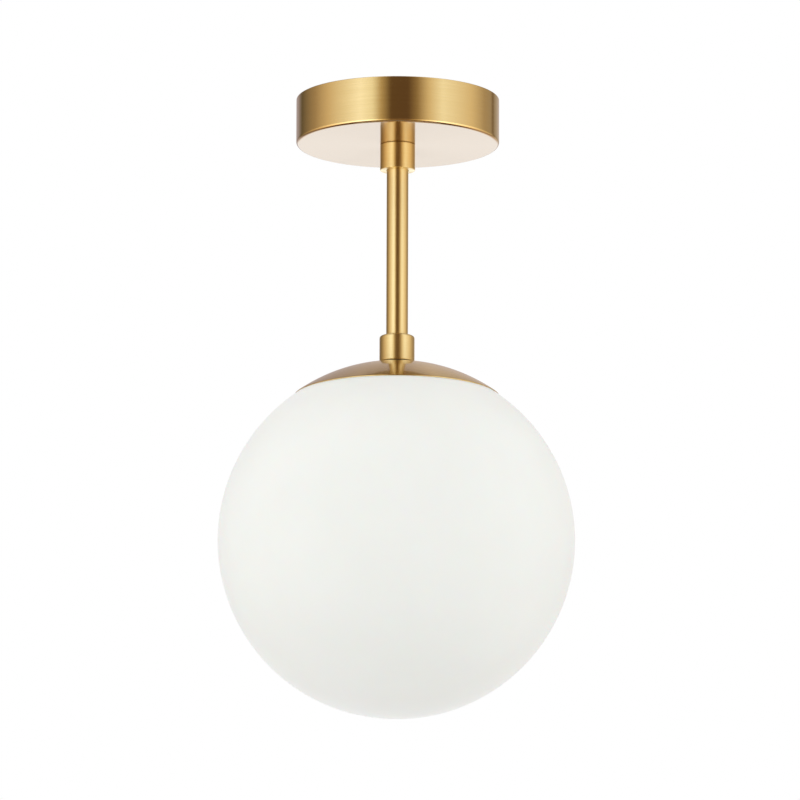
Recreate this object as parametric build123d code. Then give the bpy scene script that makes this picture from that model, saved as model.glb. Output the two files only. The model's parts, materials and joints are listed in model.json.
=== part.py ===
from build123d import *
import os
from math import cos, radians, sin, sqrt

# Glass globe ceiling light. The ceiling is the plane z = 0, and everything hangs below it on the Z axis.
# Lengths are millimetres. Inside the globe, heights are counted from the globe's centre.

# Ceiling canopy, a spun cup with its open side against the ceiling
canopy_diameter = 116.0
canopy_height = 26.5
canopy_wall = 1.0
canopy_edge_radius = 1.8

# Stem and the two collars on it
stem_diameter = 12.4
stem_wall = 1.1
stem_exposed = 97.0
collar_diameter = 20.0
canopy_collar_length = 15.0
canopy_collar_edge = 1.0
stem_collar_length = 15.5
stem_collar_edge = 1.5
stem_socket_depth = 11.0
collar_screw_diameter = 4.0
collar_screw_socket = 2.0

# Threaded hollow nipples, their nuts and washers
nipple_wall = 1.5
top_nipple_overlap = 20.0
lower_nipple_overlap = 8.0
nipple_proud = 1.0
nut_wall = 3.5
bracket_nut_height = 4.0
dome_nut_height = 5.0
nut_chamfer = 0.8
lock_washer_thickness = 1.0
lock_washer_wall = 3.0
lock_washer_split = 1.6
collar_washer_thickness = 1.0
collar_washer_inset = 1.5
dome_washer_thickness = 1.0
dome_land_inset = 0.5

# Ceiling bracket, a strap whose feet meet the ceiling and whose bridge hangs below it
bracket_length = 104.0
bracket_width = 20.0
bracket_thickness = 2.0
bracket_drop = 15.0
bracket_bridge_length = 47.0
bracket_leg_slope = 3.0
bracket_bend_radius = 3.0
bracket_corner_radius = 4.0
slot_spacing = 78.0
slot_length = 18.0
slot_width = 5.2
earth_screw_offset = 15.0
earth_screw_diameter = 4.0
earth_head_diameter = 7.4
earth_head_height = 2.4
earth_washer_diameter = 9.0
earth_washer_thickness = 1.0

# Two-pole terminal block on a tab of the bracket
tab_length = 20.0
tab_thickness = 1.5
tab_overhang = 2.0
tab_height = 8.0
tab_bend_radius = 1.6
block_depth = 9.0
block_height = 12.0
block_edge_radius = 1.0
block_above_bridge = 5.5
pole_pitch = 10.0
pole_tube_diameter = 4.8
pole_tube_bore = 3.2
pole_tube_length = 10.0
pole_screw_spacing = 5.6
pole_screw_diameter = 3.4
block_screw_diameter = 2.8
block_screw_head = 4.6
block_screw_head_height = 1.6

# Insulated leads between the terminal block and the lampholder
lead_diameter = 2.0
lead_spread = 1.6
lead_bend_radius = 5.5
lead_jog_radius = 3.0
lead_in_block = 4.0

# Opal glass globe
globe_diameter = 203.0
globe_wall = 3.0
mouth_diameter = 80.0

# Spun brass dome over the globe's top, with a soft liner inside its rim
dome_wall = 0.7
dome_rim_angle = 36.0
liner_thickness = 0.3
liner_span_angle = 3.0
liner_edge_angle = 0.5

# Sprung fitter: a three-armed spider with a leaf clip under each arm
arm_count = 3
arm_width = 12.0
arm_to_dome = 1.0
spider_hub_diameter = 34.0
spider_thickness = 1.5
spider_corner_radius = 3.0
clip_width = 8.0
clip_thickness = 0.6
clip_root_length = 11.0
clip_to_dome = 1.9
clip_bulge = 2.8
clip_tail_length = 9.5
clip_tail_lean = 32.0
clip_bend_radius = 1.2
rivet_diameter = 3.0
rivet_head_diameter = 4.2
rivet_head_height = 0.6
rivet_pitch = 4.6
rivet_edge = 4.2

# Three-piece lampholder for an E27 lamp
holder_diameter = 39.0
holder_wall = 2.2
holder_cap_height = 24.0
holder_boss_diameter = 17.0
holder_boss_height = 3.6
holder_thread_length = 6.0
holder_shoulder_drop = 14.0
holder_screw_diameter = 3.0
skirt_length = 26.0
skirt_lip_height = 3.0
skirt_lip_overhang = 1.5
skirt_neck_length = 4.0
skirt_bore_gap = 0.5
skirt_rib_count = 24
skirt_rib_diameter = 1.6
skirt_rib_length = 15.0
carrier_thickness = 5.0
carrier_gap = 0.3
carrier_screw_diameter = 2.4
carrier_screw_head = 3.8
carrier_screw_height = 1.4
carrier_screw_offset = 5.0
lead_terminal_offset = 6.2
lead_in_carrier = 2.6
shell_wall = 0.5
shell_length = 24.0
contact_width = 5.0
contact_thickness = 0.5
contact_drop = 0.6
contact_reach = 9.0

# LED lamp
lamp_diameter = 60.0
lamp_cap_diameter = 25.8
lamp_cap_wall = 0.5
lamp_cap_length = 23.6
lamp_cap_shoulder = 2.0
lamp_insulator_height = 3.0
lamp_tip_diameter = 9.0
lamp_tip_height = 1.2
lamp_housing_length = 39.0
lamp_housing_wall = 1.5
lamp_diffuser_wall = 1.2
lamp_rim_rise = 12.2
lamp_board_thickness = 1.6
lamp_board_edge = 1.4

# Clearances
slide_gap = 0.2
canopy_hole_gap = 0.3
thread_gap = 0.1
shank_gap = 0.1
seat_gap = 0.3
liner_gap = 0.02
shell_to_lamp = 0.5

# Levels along the stem
canopy_radius = canopy_diameter / 2
stem_radius = stem_diameter / 2
stem_bore = stem_radius - stem_wall
nipple_radius = stem_bore - thread_gap
nipple_bore = nipple_radius - nipple_wall
nipple_hole = nipple_radius + thread_gap
collar_radius = collar_diameter / 2
bridge_top = -bracket_drop
bridge_bottom = bridge_top - bracket_thickness
top_nipple_end = bridge_top + bracket_nut_height + nipple_proud
lower_nut_top = bridge_bottom - lock_washer_thickness
stem_top = lower_nut_top - bracket_nut_height
canopy_bottom = -canopy_height
canopy_collar_bottom = canopy_bottom - canopy_collar_length
stem_collar_top = canopy_collar_bottom - stem_exposed
stem_collar_bottom = stem_collar_top - stem_collar_length
stem_bottom = stem_collar_top - stem_socket_depth
land_z = stem_collar_bottom - collar_washer_thickness

# Spheres of the globe and the dome, and the heights of what hangs inside them
globe_radius = globe_diameter / 2
globe_inner = globe_radius - globe_wall
mouth_radius = mouth_diameter / 2
dome_inner = globe_radius + seat_gap + liner_thickness
dome_outer = dome_inner + dome_wall
land_radius = collar_radius - dome_land_inset
land_height = sqrt(dome_outer**2 - land_radius**2)
globe_z = land_z - land_height
land_under = land_height - dome_wall
dome_nut_top = land_under - dome_washer_thickness
spider_top = dome_nut_top - dome_nut_height
spider_under = spider_top - spider_thickness
arm_reach = sqrt(dome_inner**2 - spider_top**2) - arm_to_dome

# Heights of the lampholder and the lamp
cap_under = spider_under - holder_cap_height
nipple_foot = spider_under - holder_thread_length
carrier_under = cap_under + skirt_neck_length
carrier_top = carrier_under + carrier_thickness
skirt_under = cap_under - skirt_length
contact_lowest = carrier_under - contact_drop - contact_thickness
lamp_tip_top = contact_lowest - seat_gap
lamp_insulator_top = lamp_tip_top - lamp_tip_height
lamp_cap_top = lamp_insulator_top - lamp_insulator_height
lamp_cap_under = lamp_cap_top - lamp_cap_length
lamp_rim = lamp_cap_under - lamp_housing_length
lamp_centre = lamp_rim - lamp_rim_rise
lamp_cap_radius = lamp_cap_diameter / 2
shell_bore = lamp_cap_radius + shell_to_lamp
shell_radius = shell_bore + shell_wall
holder_radius = holder_diameter / 2
holder_bore = holder_radius - holder_wall
skirt_bore = shell_radius + skirt_bore_gap

# Places of the terminal block
tab_face = bracket_width / 2 + tab_overhang
pole_y = tab_face + block_depth / 2
block_back = tab_face + block_depth
block_top = bridge_bottom + block_above_bridge
block_middle = block_top - block_height / 2
block_width = 2 * pole_pitch + 2 * block_edge_radius

standing = (Align.CENTER, Align.CENTER, Align.MIN)
hung = (Align.CENTER, Align.CENTER, Align.MAX)


def rod(radius, low, high):
    return Pos(0, 0, low) * Cylinder(radius, high - low, align=standing)


def tube(outer, inner, low, high):
    return rod(outer, low, high) - rod(inner, low, high)


# A solid turned about the Z axis from an outline in radius and height
def turned(*outline):
    edges = [edge for piece in outline for edge in piece.edges()]
    return revolve(Plane.XZ * make_face(edges), Axis.Z)


# The same, raised from the globe's centre to its place below the ceiling
def turned_in_globe(*outline):
    return Pos(0, 0, globe_z) * turned(*outline)


# A rod along +Y from the plane y = start, for screws that are driven from the back
def cross_rod(radius, x, start, end, z):
    return Pos(x, start, z) * Rot(-90, 0, 0) * Cylinder(radius, end - start, align=standing)


# A strip of sheet that follows a bent line in the XZ plane, centred on Y
def bent_strip(points, bend_radius, thickness, width):
    section = trace(FilletPolyline(*points, radius=bend_radius), thickness)
    return extrude(Plane.XZ * section, width / 2, both=True)


# A point on a circle about the globe's centre, at a radius from the Z axis
def on_sphere(sphere_radius, radius):
    return (radius, sqrt(sphere_radius**2 - radius**2))


# A point on a circle about the globe's centre, at an angle from its top
def at_angle(sphere_radius, angle):
    return (sphere_radius * sin(radians(angle)), sphere_radius * cos(radians(angle)))


def hex_nut(low, height):
    flats = nipple_radius + nut_wall
    corners = flats / cos(radians(30))
    blank = extrude(RegularPolygon(flats, 6, major_radius=False), height)
    round_blank = chamfer(Cylinder(corners, height, align=standing).edges(), nut_chamfer)
    return Pos(0, 0, low) * ((blank & round_blank) - Cylinder(nipple_hole, height, align=standing))


def ceiling_bracket():
    end = bracket_length / 2
    bridge_end = bracket_bridge_length / 2
    leg_top = bridge_end + bracket_leg_slope
    foot_mid = -bracket_thickness / 2
    bridge_mid = bridge_top - bracket_thickness / 2
    half = [(bridge_end, bridge_mid), (leg_top, foot_mid), (end, foot_mid)]
    points = [(-x, z) for x, z in reversed(half)] + half
    strap = bent_strip(points, bracket_bend_radius, bracket_thickness, bracket_width)
    corners = strap.edges().filter_by(Axis.Z).group_by(SortBy.DISTANCE)[-1]
    strap = fillet(corners, bracket_corner_radius)
    tab_line = FilletPolyline(
        (0, bridge_mid),
        (tab_face - tab_thickness / 2, bridge_mid),
        (tab_face - tab_thickness / 2, bridge_bottom - tab_height),
        radius=tab_bend_radius,
    )
    tab = extrude(Plane.YZ * trace(tab_line, tab_thickness), tab_length / 2, both=True)
    strap += tab
    slot = extrude(SlotOverall(slot_length, slot_width), bracket_thickness, both=True)
    for side in (-1, 1):
        strap -= Pos(side * slot_spacing / 2, 0, 0) * slot
    strap -= rod(nipple_hole, bridge_bottom, bridge_top)
    strap -= Pos(-earth_screw_offset, 0, 0) * rod(earth_screw_diameter / 2, bridge_bottom, bridge_top)
    screw_hole = block_screw_diameter / 2 + shank_gap
    strap -= cross_rod(screw_hole, 0, tab_face - 2 * tab_thickness, tab_face, block_middle)
    return strap


def earth_screw():
    head_top = bridge_bottom - earth_washer_thickness
    head = rod(earth_head_diameter / 2, head_top - earth_head_height, head_top)
    head = fillet(head.edges().group_by(Axis.Z)[0], earth_head_height / 3)
    shank = rod(earth_screw_diameter / 2 - shank_gap, head_top, bridge_top + bracket_thickness)
    return Pos(-earth_screw_offset, 0, 0) * (head + shank)


def earth_washer():
    under = bridge_bottom - earth_washer_thickness
    ring = tube(earth_washer_diameter / 2, earth_screw_diameter / 2, under, bridge_bottom)
    return Pos(-earth_screw_offset, 0, 0) * ring


def terminal_block():
    block = fillet(Box(block_width, block_depth, block_height).edges().filter_by(Axis.Z), block_edge_radius)
    block = Pos(0, pole_y, block_middle) * block
    tube_top = block_middle + pole_tube_length / 2
    for side in (-1, 1):
        pole = Pos(side * pole_pitch / 2, pole_y, 0)
        block -= pole * rod(pole_tube_bore / 2, block_top - block_height, block_top)
        block -= pole * rod(pole_tube_diameter / 2 + shank_gap, tube_top - pole_tube_length, tube_top)
    for x, z in pole_screw_places():
        block -= cross_rod(pole_screw_diameter / 2 + shank_gap, x, pole_y, block_back, z)
    block -= cross_rod(block_screw_diameter / 2 + shank_gap, 0, tab_face, block_back, block_middle)
    well_floor = block_back - block_screw_head_height
    block -= cross_rod(block_screw_head / 2 + shank_gap, 0, well_floor, block_back, block_middle)
    return block


def pole_screw_places():
    heights = (block_middle - pole_screw_spacing / 2, block_middle + pole_screw_spacing / 2)
    return [(side * pole_pitch / 2, z) for side in (-1, 1) for z in heights]


def terminal_tubes():
    high = block_middle + pole_tube_length / 2
    sleeve = tube(pole_tube_diameter / 2, pole_tube_bore / 2, high - pole_tube_length, high)
    return Compound(children=[Pos(side * pole_pitch / 2, pole_y, 0) * sleeve for side in (-1, 1)])


def terminal_screws():
    start = pole_y + pole_tube_diameter / 2 + shank_gap
    end = block_back - shank_gap
    places = pole_screw_places()
    return Compound(children=[cross_rod(pole_screw_diameter / 2, x, start, end, z) for x, z in places])


def block_screw():
    head_start = block_back - block_screw_head_height
    shank = cross_rod(block_screw_diameter / 2, 0, tab_face - 2 * tab_thickness, head_start, block_middle)
    return shank + cross_rod(block_screw_head / 2, 0, head_start, block_back, block_middle)


def bracket_nuts():
    return Compound(children=[hex_nut(z, bracket_nut_height) for z in (bridge_top, stem_top)])


def bracket_lock_washer():
    ring = tube(nipple_hole + lock_washer_wall, nipple_hole, lower_nut_top, bridge_bottom)
    split = Pos(nipple_hole + lock_washer_wall / 2, 0, lower_nut_top)
    return ring - split * Box(2 * lock_washer_wall, lock_washer_split, lock_washer_thickness, align=standing)


def top_nipple():
    return tube(nipple_radius, nipple_bore, stem_top - top_nipple_overlap, top_nipple_end)


def stem_tube():
    return tube(stem_radius, stem_bore, stem_bottom, stem_top)


def stem_collar():
    body = rod(collar_radius, stem_collar_bottom, stem_collar_top)
    body = fillet(body.edges(), stem_collar_edge)
    body -= rod(stem_radius + thread_gap, stem_bottom, stem_collar_top)
    return body - rod(nipple_hole, stem_collar_bottom, stem_collar_top)


def collar_washer():
    return tube(collar_radius - collar_washer_inset, nipple_hole, land_z, stem_collar_bottom)


def canopy():
    outer_corner = canopy_radius - canopy_edge_radius
    inner_edge = canopy_edge_radius - canopy_wall
    floor_top = canopy_bottom + canopy_wall
    hole = stem_radius + canopy_hole_gap
    corner = (outer_corner, canopy_bottom + canopy_edge_radius)
    return turned(
        Line((canopy_radius - canopy_wall, 0), (canopy_radius, 0)),
        Line((canopy_radius, 0), (canopy_radius, corner[1])),
        CenterArc(corner, canopy_edge_radius, 0, -90),
        Line((outer_corner, canopy_bottom), (hole, canopy_bottom)),
        Line((hole, canopy_bottom), (hole, floor_top)),
        Line((hole, floor_top), (outer_corner, floor_top)),
        CenterArc(corner, inner_edge, -90, 90),
        Line((canopy_radius - canopy_wall, corner[1]), (canopy_radius - canopy_wall, 0)),
    )


def collar_screw_height():
    return canopy_bottom - canopy_collar_length / 2


def canopy_collar():
    body = rod(collar_radius, canopy_collar_bottom, canopy_bottom)
    body = fillet(body.edges().group_by(Axis.Z)[0], canopy_collar_edge)
    body -= rod(stem_radius + slide_gap, canopy_collar_bottom, canopy_bottom)
    return body - cross_rod(collar_screw_diameter / 2, 0, 0, collar_radius, collar_screw_height())


def collar_grub_screw():
    start = stem_radius + slide_gap
    end = sqrt(collar_radius**2 - (collar_screw_diameter / 2) ** 2)
    screw = cross_rod(collar_screw_diameter / 2 - shank_gap, 0, start, end, collar_screw_height())
    socket = extrude(RegularPolygon(collar_screw_socket / 2, 6, major_radius=False), collar_screw_socket)
    return screw - Pos(0, end, collar_screw_height()) * Rot(90, 0, 0) * socket


def dome_cap():
    rim_outer = at_angle(dome_outer, dome_rim_angle)
    rim_inner = at_angle(dome_inner, dome_rim_angle)
    land_inner = on_sphere(dome_inner, sqrt(dome_inner**2 - land_under**2))
    outer_span = dome_rim_angle - dome_land_angle(dome_outer, land_height)
    inner_span = dome_rim_angle - dome_land_angle(dome_inner, land_under)
    return turned_in_globe(
        Line((nipple_hole, land_height), (land_radius, land_height)),
        CenterArc((0, 0), dome_outer, 90 - dome_rim_angle, outer_span),
        Line(rim_outer, rim_inner),
        CenterArc((0, 0), dome_inner, 90 - dome_rim_angle, inner_span),
        Line(land_inner, (nipple_hole, land_under)),
        Line((nipple_hole, land_under), (nipple_hole, land_height)),
    )


# The angle from the dome's top at which its flat land ends
def dome_land_angle(sphere_radius, height):
    return 90 - Vector(sqrt(sphere_radius**2 - height**2), height).get_angle(Vector(1, 0))


def dome_liner():
    inside = globe_radius + seat_gap
    outside = dome_inner - liner_gap
    low = dome_rim_angle - liner_edge_angle
    high = low - liner_span_angle
    return turned_in_globe(
        CenterArc((0, 0), outside, 90 - low, liner_span_angle),
        Line(at_angle(outside, high), at_angle(inside, high)),
        CenterArc((0, 0), inside, 90 - low, liner_span_angle),
        Line(at_angle(inside, low), at_angle(outside, low)),
    )


def lower_nipple():
    return tube(nipple_radius, nipple_bore, globe_z + nipple_foot, stem_bottom + lower_nipple_overlap)


def dome_washer():
    return tube(land_radius - dome_land_inset, nipple_hole, globe_z + dome_nut_top, globe_z + land_under)


def dome_lock_nut():
    return hex_nut(globe_z + spider_top, dome_nut_height)


def rivet_radii():
    outer = arm_reach - rivet_edge
    return (outer - rivet_pitch, outer)


def globe_spider():
    hub = rod(spider_hub_diameter / 2, spider_under, spider_top)
    arm = Pos(arm_reach / 2, 0, spider_under) * Box(arm_reach, arm_width, spider_thickness, align=standing)
    arm = fillet(arm.edges().filter_by(Axis.Z).sort_by(Axis.X)[-2:], spider_corner_radius)
    for radius in rivet_radii():
        arm -= Pos(radius, 0, 0) * rod(rivet_diameter / 2 + shank_gap, spider_under, spider_top)
    spider = hub
    for place in arm_places():
        spider += place * arm
    return Pos(0, 0, globe_z) * (spider - rod(nipple_hole, spider_under, spider_top))


# The first arm points to the back, so the space between the other two faces the front
def arm_places():
    return [Rot(0, 0, 90 + 360 * number / arm_count) for number in range(arm_count)]


# A leaf clip in the XZ plane: flat under its arm, down through the globe's mouth, out below the glass,
# and back inwards as the lead that lets the glass be pushed on
def globe_clip():
    half = clip_thickness / 2
    flat = spider_under - half
    bend_radius_out = sqrt(dome_inner**2 - spider_under**2) - clip_to_dome
    mouth_inner = on_sphere(globe_inner, mouth_radius)
    waist = (mouth_radius - 2 * seat_gap - half, mouth_inner[1] - 2 * half)
    crest = on_sphere(globe_inner - seat_gap - half, mouth_radius + clip_bulge)
    lean = radians(clip_tail_lean)
    tail = (crest[0] - clip_tail_length * sin(lean), crest[1] - clip_tail_length * cos(lean))
    points = [(arm_reach - clip_root_length, flat), (bend_radius_out, flat), waist, crest, tail]
    clip = bent_strip(points, clip_bend_radius, clip_thickness, clip_width)
    hole = rod(rivet_diameter / 2 + shank_gap, spider_under - clip_thickness, spider_under)
    for radius in rivet_radii():
        clip -= Pos(radius, 0, 0) * hole
    return Pos(0, 0, globe_z) * clip


def clip_rivets():
    shank = rod(rivet_diameter / 2, spider_under - clip_thickness, spider_top)
    head = Cylinder(rivet_head_diameter / 2, rivet_head_height, align=standing)
    head = chamfer(head.edges().group_by(Axis.Z)[-1], rivet_head_height / 2)
    tail = Cylinder(rivet_head_diameter / 2, rivet_head_height, align=hung)
    tail = chamfer(tail.edges().group_by(Axis.Z)[0], rivet_head_height / 2)
    rivet = shank + Pos(0, 0, spider_top) * head + Pos(0, 0, spider_under - clip_thickness) * tail
    places = [place * Pos(radius, 0, globe_z) for place in arm_places() for radius in rivet_radii()]
    return Compound(children=[place * rivet for place in places])


def lampholder_cap():
    boss = holder_boss_diameter / 2
    boss_under = spider_under - holder_boss_height
    shoulder = spider_under - holder_shoulder_drop
    ceiling = nipple_foot
    inner_top = boss - holder_wall
    cap = turned_in_globe(
        Line((nipple_hole, spider_under), (boss, spider_under)),
        Line((boss, spider_under), (boss, boss_under)),
        ThreePointArc((boss, boss_under), *shoulder_arc(boss, boss_under, holder_radius, shoulder)),
        Line((holder_radius, shoulder), (holder_radius, cap_under)),
        Line((holder_radius, cap_under), (holder_bore, cap_under)),
        Line((holder_bore, cap_under), (holder_bore, carrier_top + carrier_gap)),
        Line((holder_bore, carrier_top + carrier_gap), (inner_top, ceiling)),
        Line((inner_top, ceiling), (nipple_hole, ceiling)),
        Line((nipple_hole, ceiling), (nipple_hole, spider_under)),
    )
    height = globe_z + spider_under - holder_boss_height / 2
    return cap - cross_rod(holder_screw_diameter / 2, 0, 0, boss, height)


# Middle and end of the round shoulder from a boss to a wider rim below it
def shoulder_arc(start_radius, start_height, end_radius, end_height):
    across = end_radius - start_radius
    down = start_height - end_height
    middle = (start_radius + across * sin(radians(45)), end_height + down * cos(radians(45)))
    return middle, (end_radius, end_height)


def holder_grub_screw():
    height = globe_z + spider_under - holder_boss_height / 2
    end = holder_boss_diameter / 2 - shank_gap
    return cross_rod(holder_screw_diameter / 2 - shank_gap, 0, nipple_hole, end, height)


def lampholder_skirt():
    neck = holder_bore - carrier_gap
    lip = holder_radius + skirt_lip_overhang
    lip_top = skirt_under + skirt_lip_height
    body = holder_radius - skirt_lip_overhang
    skirt = turned_in_globe(
        Polyline(
            (skirt_bore, skirt_under),
            (lip, skirt_under),
            (lip, lip_top),
            (body, lip_top + skirt_lip_height),
            (body, cap_under - skirt_lip_height),
            (holder_radius, cap_under),
            (neck, cap_under),
            (neck, carrier_under),
            (skirt_bore, carrier_under),
            close=True,
        )
    )
    middle = globe_z + (lip_top + cap_under) / 2
    rib = Pos(body, 0, middle) * Cylinder(skirt_rib_diameter / 2, skirt_rib_length)
    for number in range(skirt_rib_count):
        skirt += Rot(0, 0, 360 * number / skirt_rib_count) * rib
    return skirt


def contact_carrier():
    disc = rod(holder_bore - carrier_gap, carrier_under, carrier_top)
    wire_hole = rod(lead_diameter / 2 + shank_gap, carrier_top - lead_in_carrier, carrier_top)
    screw_hole = rod(carrier_screw_diameter / 2 + shank_gap, carrier_top - lead_in_carrier, carrier_top)
    for side in (-1, 1):
        disc -= Pos(side * lead_terminal_offset, 0, 0) * wire_hole
        disc -= Pos(side * lead_terminal_offset, carrier_screw_offset, 0) * screw_hole
    return Pos(0, 0, globe_z) * disc


def contact_screws():
    shank = rod(carrier_screw_diameter / 2, carrier_top - lead_in_carrier, carrier_top)
    screw = shank + rod(carrier_screw_head / 2, carrier_top, carrier_top + carrier_screw_height)
    places = [Pos(side * lead_terminal_offset, carrier_screw_offset, globe_z) for side in (-1, 1)]
    return Compound(children=[place * screw for place in places])


def screw_shell():
    return tube(shell_radius, shell_bore, globe_z + carrier_under - shell_length, globe_z + carrier_under)


def centre_contact():
    half = contact_thickness / 2
    points = [
        (-contact_reach, carrier_under - half),
        (-contact_reach / 3, carrier_under - half),
        (contact_reach / 3, carrier_under - contact_drop - half),
        (2 * contact_reach / 3, carrier_under - contact_drop / 2 - half),
    ]
    return Pos(0, 0, globe_z) * bent_strip(points, contact_reach / 3, contact_thickness, contact_width)


# One lead: out of the lampholder's terminal, up the stem and over into its pole of the terminal block
def lead(side):
    turn_z = top_nipple_end + lead_bend_radius
    jog_low = globe_z + carrier_top + lead_diameter
    jog_high = globe_z + nipple_foot - lead_diameter / 2
    points = [
        (side * lead_terminal_offset, 0, globe_z + carrier_top - lead_in_carrier),
        (side * lead_terminal_offset, 0, jog_low),
        (side * lead_spread, 0, jog_high),
        (side * lead_spread, 0, turn_z),
        (side * pole_pitch / 2, pole_y, turn_z),
        (side * pole_pitch / 2, pole_y, block_top - lead_in_block),
    ]
    radii = [lead_jog_radius, lead_jog_radius, lead_bend_radius, lead_bend_radius]
    route = FilletPolyline(*points, radius=radii)
    return sweep(Plane(origin=route @ 0, z_dir=route % 0) * Circle(lead_diameter / 2), route)


def glass_globe():
    mouth_top = on_sphere(globe_radius, mouth_radius)
    mouth_bottom = on_sphere(globe_inner, mouth_radius)
    outer_start = Vector(*mouth_top).get_signed_angle(Vector(1, 0), Vector(0, 0, -1))
    inner_start = Vector(*mouth_bottom).get_signed_angle(Vector(1, 0), Vector(0, 0, -1))
    return turned_in_globe(
        CenterArc((0, 0), globe_radius, -90, 90 + outer_start),
        Line(mouth_top, mouth_bottom),
        CenterArc((0, 0), globe_inner, -90, 90 + inner_start),
        Line((0, -globe_inner), (0, -globe_radius)),
    )


def lamp_screw_cap():
    inside = lamp_cap_radius - lamp_cap_wall
    top = lamp_cap_radius - lamp_cap_shoulder
    shoulder = lamp_cap_top - lamp_cap_shoulder
    return turned_in_globe(
        Polyline(
            (inside, lamp_cap_under),
            (lamp_cap_radius, lamp_cap_under),
            (lamp_cap_radius, shoulder),
            (top, lamp_cap_top),
            (top - lamp_cap_wall, lamp_cap_top),
            (inside, shoulder),
            close=True,
        )
    )


def lamp_insulator():
    base = lamp_cap_radius - lamp_cap_shoulder
    return turned_in_globe(
        Polyline(
            (0, lamp_cap_top),
            (base, lamp_cap_top),
            (lamp_tip_diameter / 2, lamp_insulator_top),
            (0, lamp_insulator_top),
            close=True,
        )
    )


def lamp_tip():
    button = rod(lamp_tip_diameter / 2, lamp_insulator_top, lamp_tip_top)
    return Pos(0, 0, globe_z) * fillet(button.edges().group_by(Axis.Z)[-1], lamp_tip_height / 2)


def lamp_rim_radius(sphere_radius):
    return sqrt(sphere_radius**2 - lamp_rim_rise**2)


def lamp_housing():
    rim = lamp_rim_radius(lamp_diameter / 2)
    neck = lamp_cap_radius + lamp_housing_wall / 2
    wall = lamp_housing_wall
    middle = lamp_cap_under - lamp_housing_length / 2
    waist = neck + (rim - neck) / 3
    return turned_in_globe(
        ThreePointArc((neck, lamp_cap_under), (waist, middle), (rim, lamp_rim)),
        Line((rim, lamp_rim), (rim - wall, lamp_rim)),
        ThreePointArc((rim - wall, lamp_rim), (waist - wall, middle), (neck - wall, lamp_cap_under)),
        Line((neck - wall, lamp_cap_under), (neck, lamp_cap_under)),
    )


def lamp_board():
    radius = lamp_rim_radius(lamp_diameter / 2) - lamp_housing_wall - lamp_board_edge
    return Pos(0, 0, globe_z) * rod(radius, lamp_rim, lamp_rim + lamp_board_thickness)


def lamp_diffuser():
    outer = lamp_diameter / 2
    inner = outer - lamp_diffuser_wall
    outer_rim = (lamp_rim_radius(outer), lamp_rim)
    inner_rim = (lamp_rim_radius(inner), lamp_rim)
    bottom = lamp_centre - outer
    return turned_in_globe(
        ThreePointArc((0, bottom), (outer, lamp_centre), outer_rim),
        Line(outer_rim, inner_rim),
        ThreePointArc(inner_rim, (inner, lamp_centre), (0, bottom + lamp_diffuser_wall)),
        Line((0, bottom + lamp_diffuser_wall), (0, bottom)),
    )


pieces = {
    "ceiling_bracket": ceiling_bracket(),
    "earth_screw": earth_screw(),
    "earth_washer": earth_washer(),
    "terminal_block": terminal_block(),
    "terminal_tubes": terminal_tubes(),
    "terminal_screws": terminal_screws(),
    "block_screw": block_screw(),
    "bracket_nuts": bracket_nuts(),
    "bracket_lock_washer": bracket_lock_washer(),
    "top_nipple": top_nipple(),
    "stem_tube": stem_tube(),
    "stem_collar": stem_collar(),
    "collar_washer": collar_washer(),
    "canopy": canopy(),
    "canopy_collar": canopy_collar(),
    "collar_grub_screw": collar_grub_screw(),
    "dome_cap": dome_cap(),
    "dome_liner": dome_liner(),
    "lower_nipple": lower_nipple(),
    "dome_washer": dome_washer(),
    "dome_lock_nut": dome_lock_nut(),
    "globe_spider": globe_spider(),
    "clip_rivets": clip_rivets(),
    "lampholder_cap": lampholder_cap(),
    "holder_grub_screw": holder_grub_screw(),
    "lampholder_skirt": lampholder_skirt(),
    "contact_carrier": contact_carrier(),
    "contact_screws": contact_screws(),
    "screw_shell": screw_shell(),
    "centre_contact": centre_contact(),
    "live_lead": lead(-1),
    "neutral_lead": lead(1),
    "glass_globe": glass_globe(),
    "lamp_screw_cap": lamp_screw_cap(),
    "lamp_insulator": lamp_insulator(),
    "lamp_tip": lamp_tip(),
    "lamp_housing": lamp_housing(),
    "lamp_board": lamp_board(),
    "lamp_diffuser": lamp_diffuser(),
}
clip = globe_clip()
for number, place in enumerate(arm_places(), start=1):
    pieces[f"globe_clip_{number}"] = place * clip

os.makedirs("parts", exist_ok=True)
for name, shape in pieces.items():
    export_step(shape, f"parts/{name}.step")
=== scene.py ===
import json
from math import asin, atan2, cos, degrees, pi, radians, sin, sqrt

import bpy
from mathutils import Matrix, Vector


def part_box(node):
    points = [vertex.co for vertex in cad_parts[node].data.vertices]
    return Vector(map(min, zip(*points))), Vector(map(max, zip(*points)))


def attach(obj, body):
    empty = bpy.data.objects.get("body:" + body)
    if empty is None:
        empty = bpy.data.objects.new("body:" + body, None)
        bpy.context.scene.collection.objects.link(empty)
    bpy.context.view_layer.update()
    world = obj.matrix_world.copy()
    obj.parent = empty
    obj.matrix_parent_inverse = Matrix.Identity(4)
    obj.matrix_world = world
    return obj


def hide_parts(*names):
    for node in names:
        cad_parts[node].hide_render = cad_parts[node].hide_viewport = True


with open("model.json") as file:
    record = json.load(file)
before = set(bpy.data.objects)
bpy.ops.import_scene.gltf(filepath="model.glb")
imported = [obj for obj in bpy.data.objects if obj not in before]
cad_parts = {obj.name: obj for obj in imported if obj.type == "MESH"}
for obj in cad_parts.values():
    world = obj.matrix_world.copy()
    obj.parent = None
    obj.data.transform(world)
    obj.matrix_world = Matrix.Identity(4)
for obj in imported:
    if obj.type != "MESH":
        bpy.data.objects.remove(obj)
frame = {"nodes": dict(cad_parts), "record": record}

# Looks of a glass globe ceiling light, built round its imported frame.
# Lengths in the dictionaries are millimetres unless a note says otherwise.
mm = 0.001
weld = 0.001 * mm     # points closer than this are one point
fineEdge = 0.1 * mm   # the smallest edge that is shown
scene = bpy.context.scene
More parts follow.
